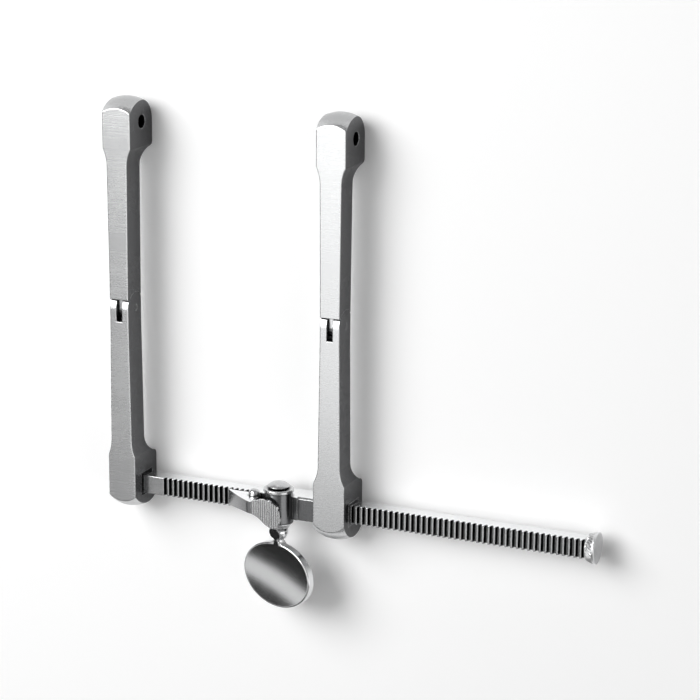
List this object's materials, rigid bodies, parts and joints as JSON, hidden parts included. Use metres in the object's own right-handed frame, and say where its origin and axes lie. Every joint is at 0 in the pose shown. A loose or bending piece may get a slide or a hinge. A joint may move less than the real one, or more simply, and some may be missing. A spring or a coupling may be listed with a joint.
{
  "type": "abdominal retractor",
  "caption": "Self-retaining surgical retractor frame: a toothed bar, a fixed and a geared sliding arm with box hinges, and a wing key.",
  "frame": {"origin": "on the flat back of the fixed arm's foot, in the middle of its width and level with the middle of the rack", "axes": "+X along the rack from the fixed arm to the knob, +Y along the arms towards the heads, +Z from the arms' backs to their fronts"},
  "size_m": [0.2791, 0.2738, 0.032],
  "materials": {
    "satin_steel": "fine satin",
    "rack_steel": "machined",
    "polished_steel": "polished",
    "spring_steel": "ground",
    "case_steel": "satin",
    "lever_steel": "satin"
  },
  "bodies": {
    "frame": {"rack_bar": "rack_steel", "end_knob": "polished_steel", "rack_dowel": "spring_steel", "fixed_lower_arm": "satin_steel", "fixed_hinge_pin": "spring_steel"},
    "fixed_upper": {"fixed_upper_arm": "satin_steel"},
    "carriage": {"sliding_lower_arm": "satin_steel", "gear_case": "case_steel", "upper_collar": "polished_steel", "lower_bush": "polished_steel", "case_dowel": "spring_steel", "sliding_hinge_pin": "spring_steel", "pivot_screw": "polished_steel", "lever_spring": "spring_steel"},
    "sliding_upper": {"sliding_upper_arm": "satin_steel"},
    "key": {"pinion": "rack_steel", "pinion_cap": "polished_steel", "wing_key": "polished_steel", "key_cross_pin": "spring_steel"},
    "lever": {"ratchet_lever": "lever_steel"}
  },
  "joints": [
    {"name": "carriage_slide", "type": "slide", "parent": "frame", "child": "carriage", "axis": [1, 0, 0], "range_m": [-0.04084, 0.12881]},
    {"name": "key_turn", "type": "hinge", "parent": "carriage", "child": "key", "pos_m": [0.0935, 0, 0.0204], "axis": [0, 1, 0], "range_deg": [-530, 1650]},
    {"name": "lever_press", "type": "hinge", "parent": "carriage", "child": "lever", "pos_m": [0.0793, 0, 0.021], "axis": [0, 1, 0], "range_deg": [-4, 6], "stiffness_Nm_per_rad": 0.1},
    {"name": "fixed_fold", "type": "hinge", "parent": "frame", "child": "fixed_upper", "pos_m": [0, 0.1013, 0.0166], "axis": [1, 0, 0], "range_deg": [-90, 45]},
    {"name": "sliding_fold", "type": "hinge", "parent": "carriage", "child": "sliding_upper", "pos_m": [0.1248, 0.1042, 0.0166], "axis": [1, 0, 0], "range_deg": [-90, 45]}
  ],
  "couplings": [
    {"joint": "key_turn", "follows": "carriage_slide", "rad_per_m": 222.22}
  ]
}
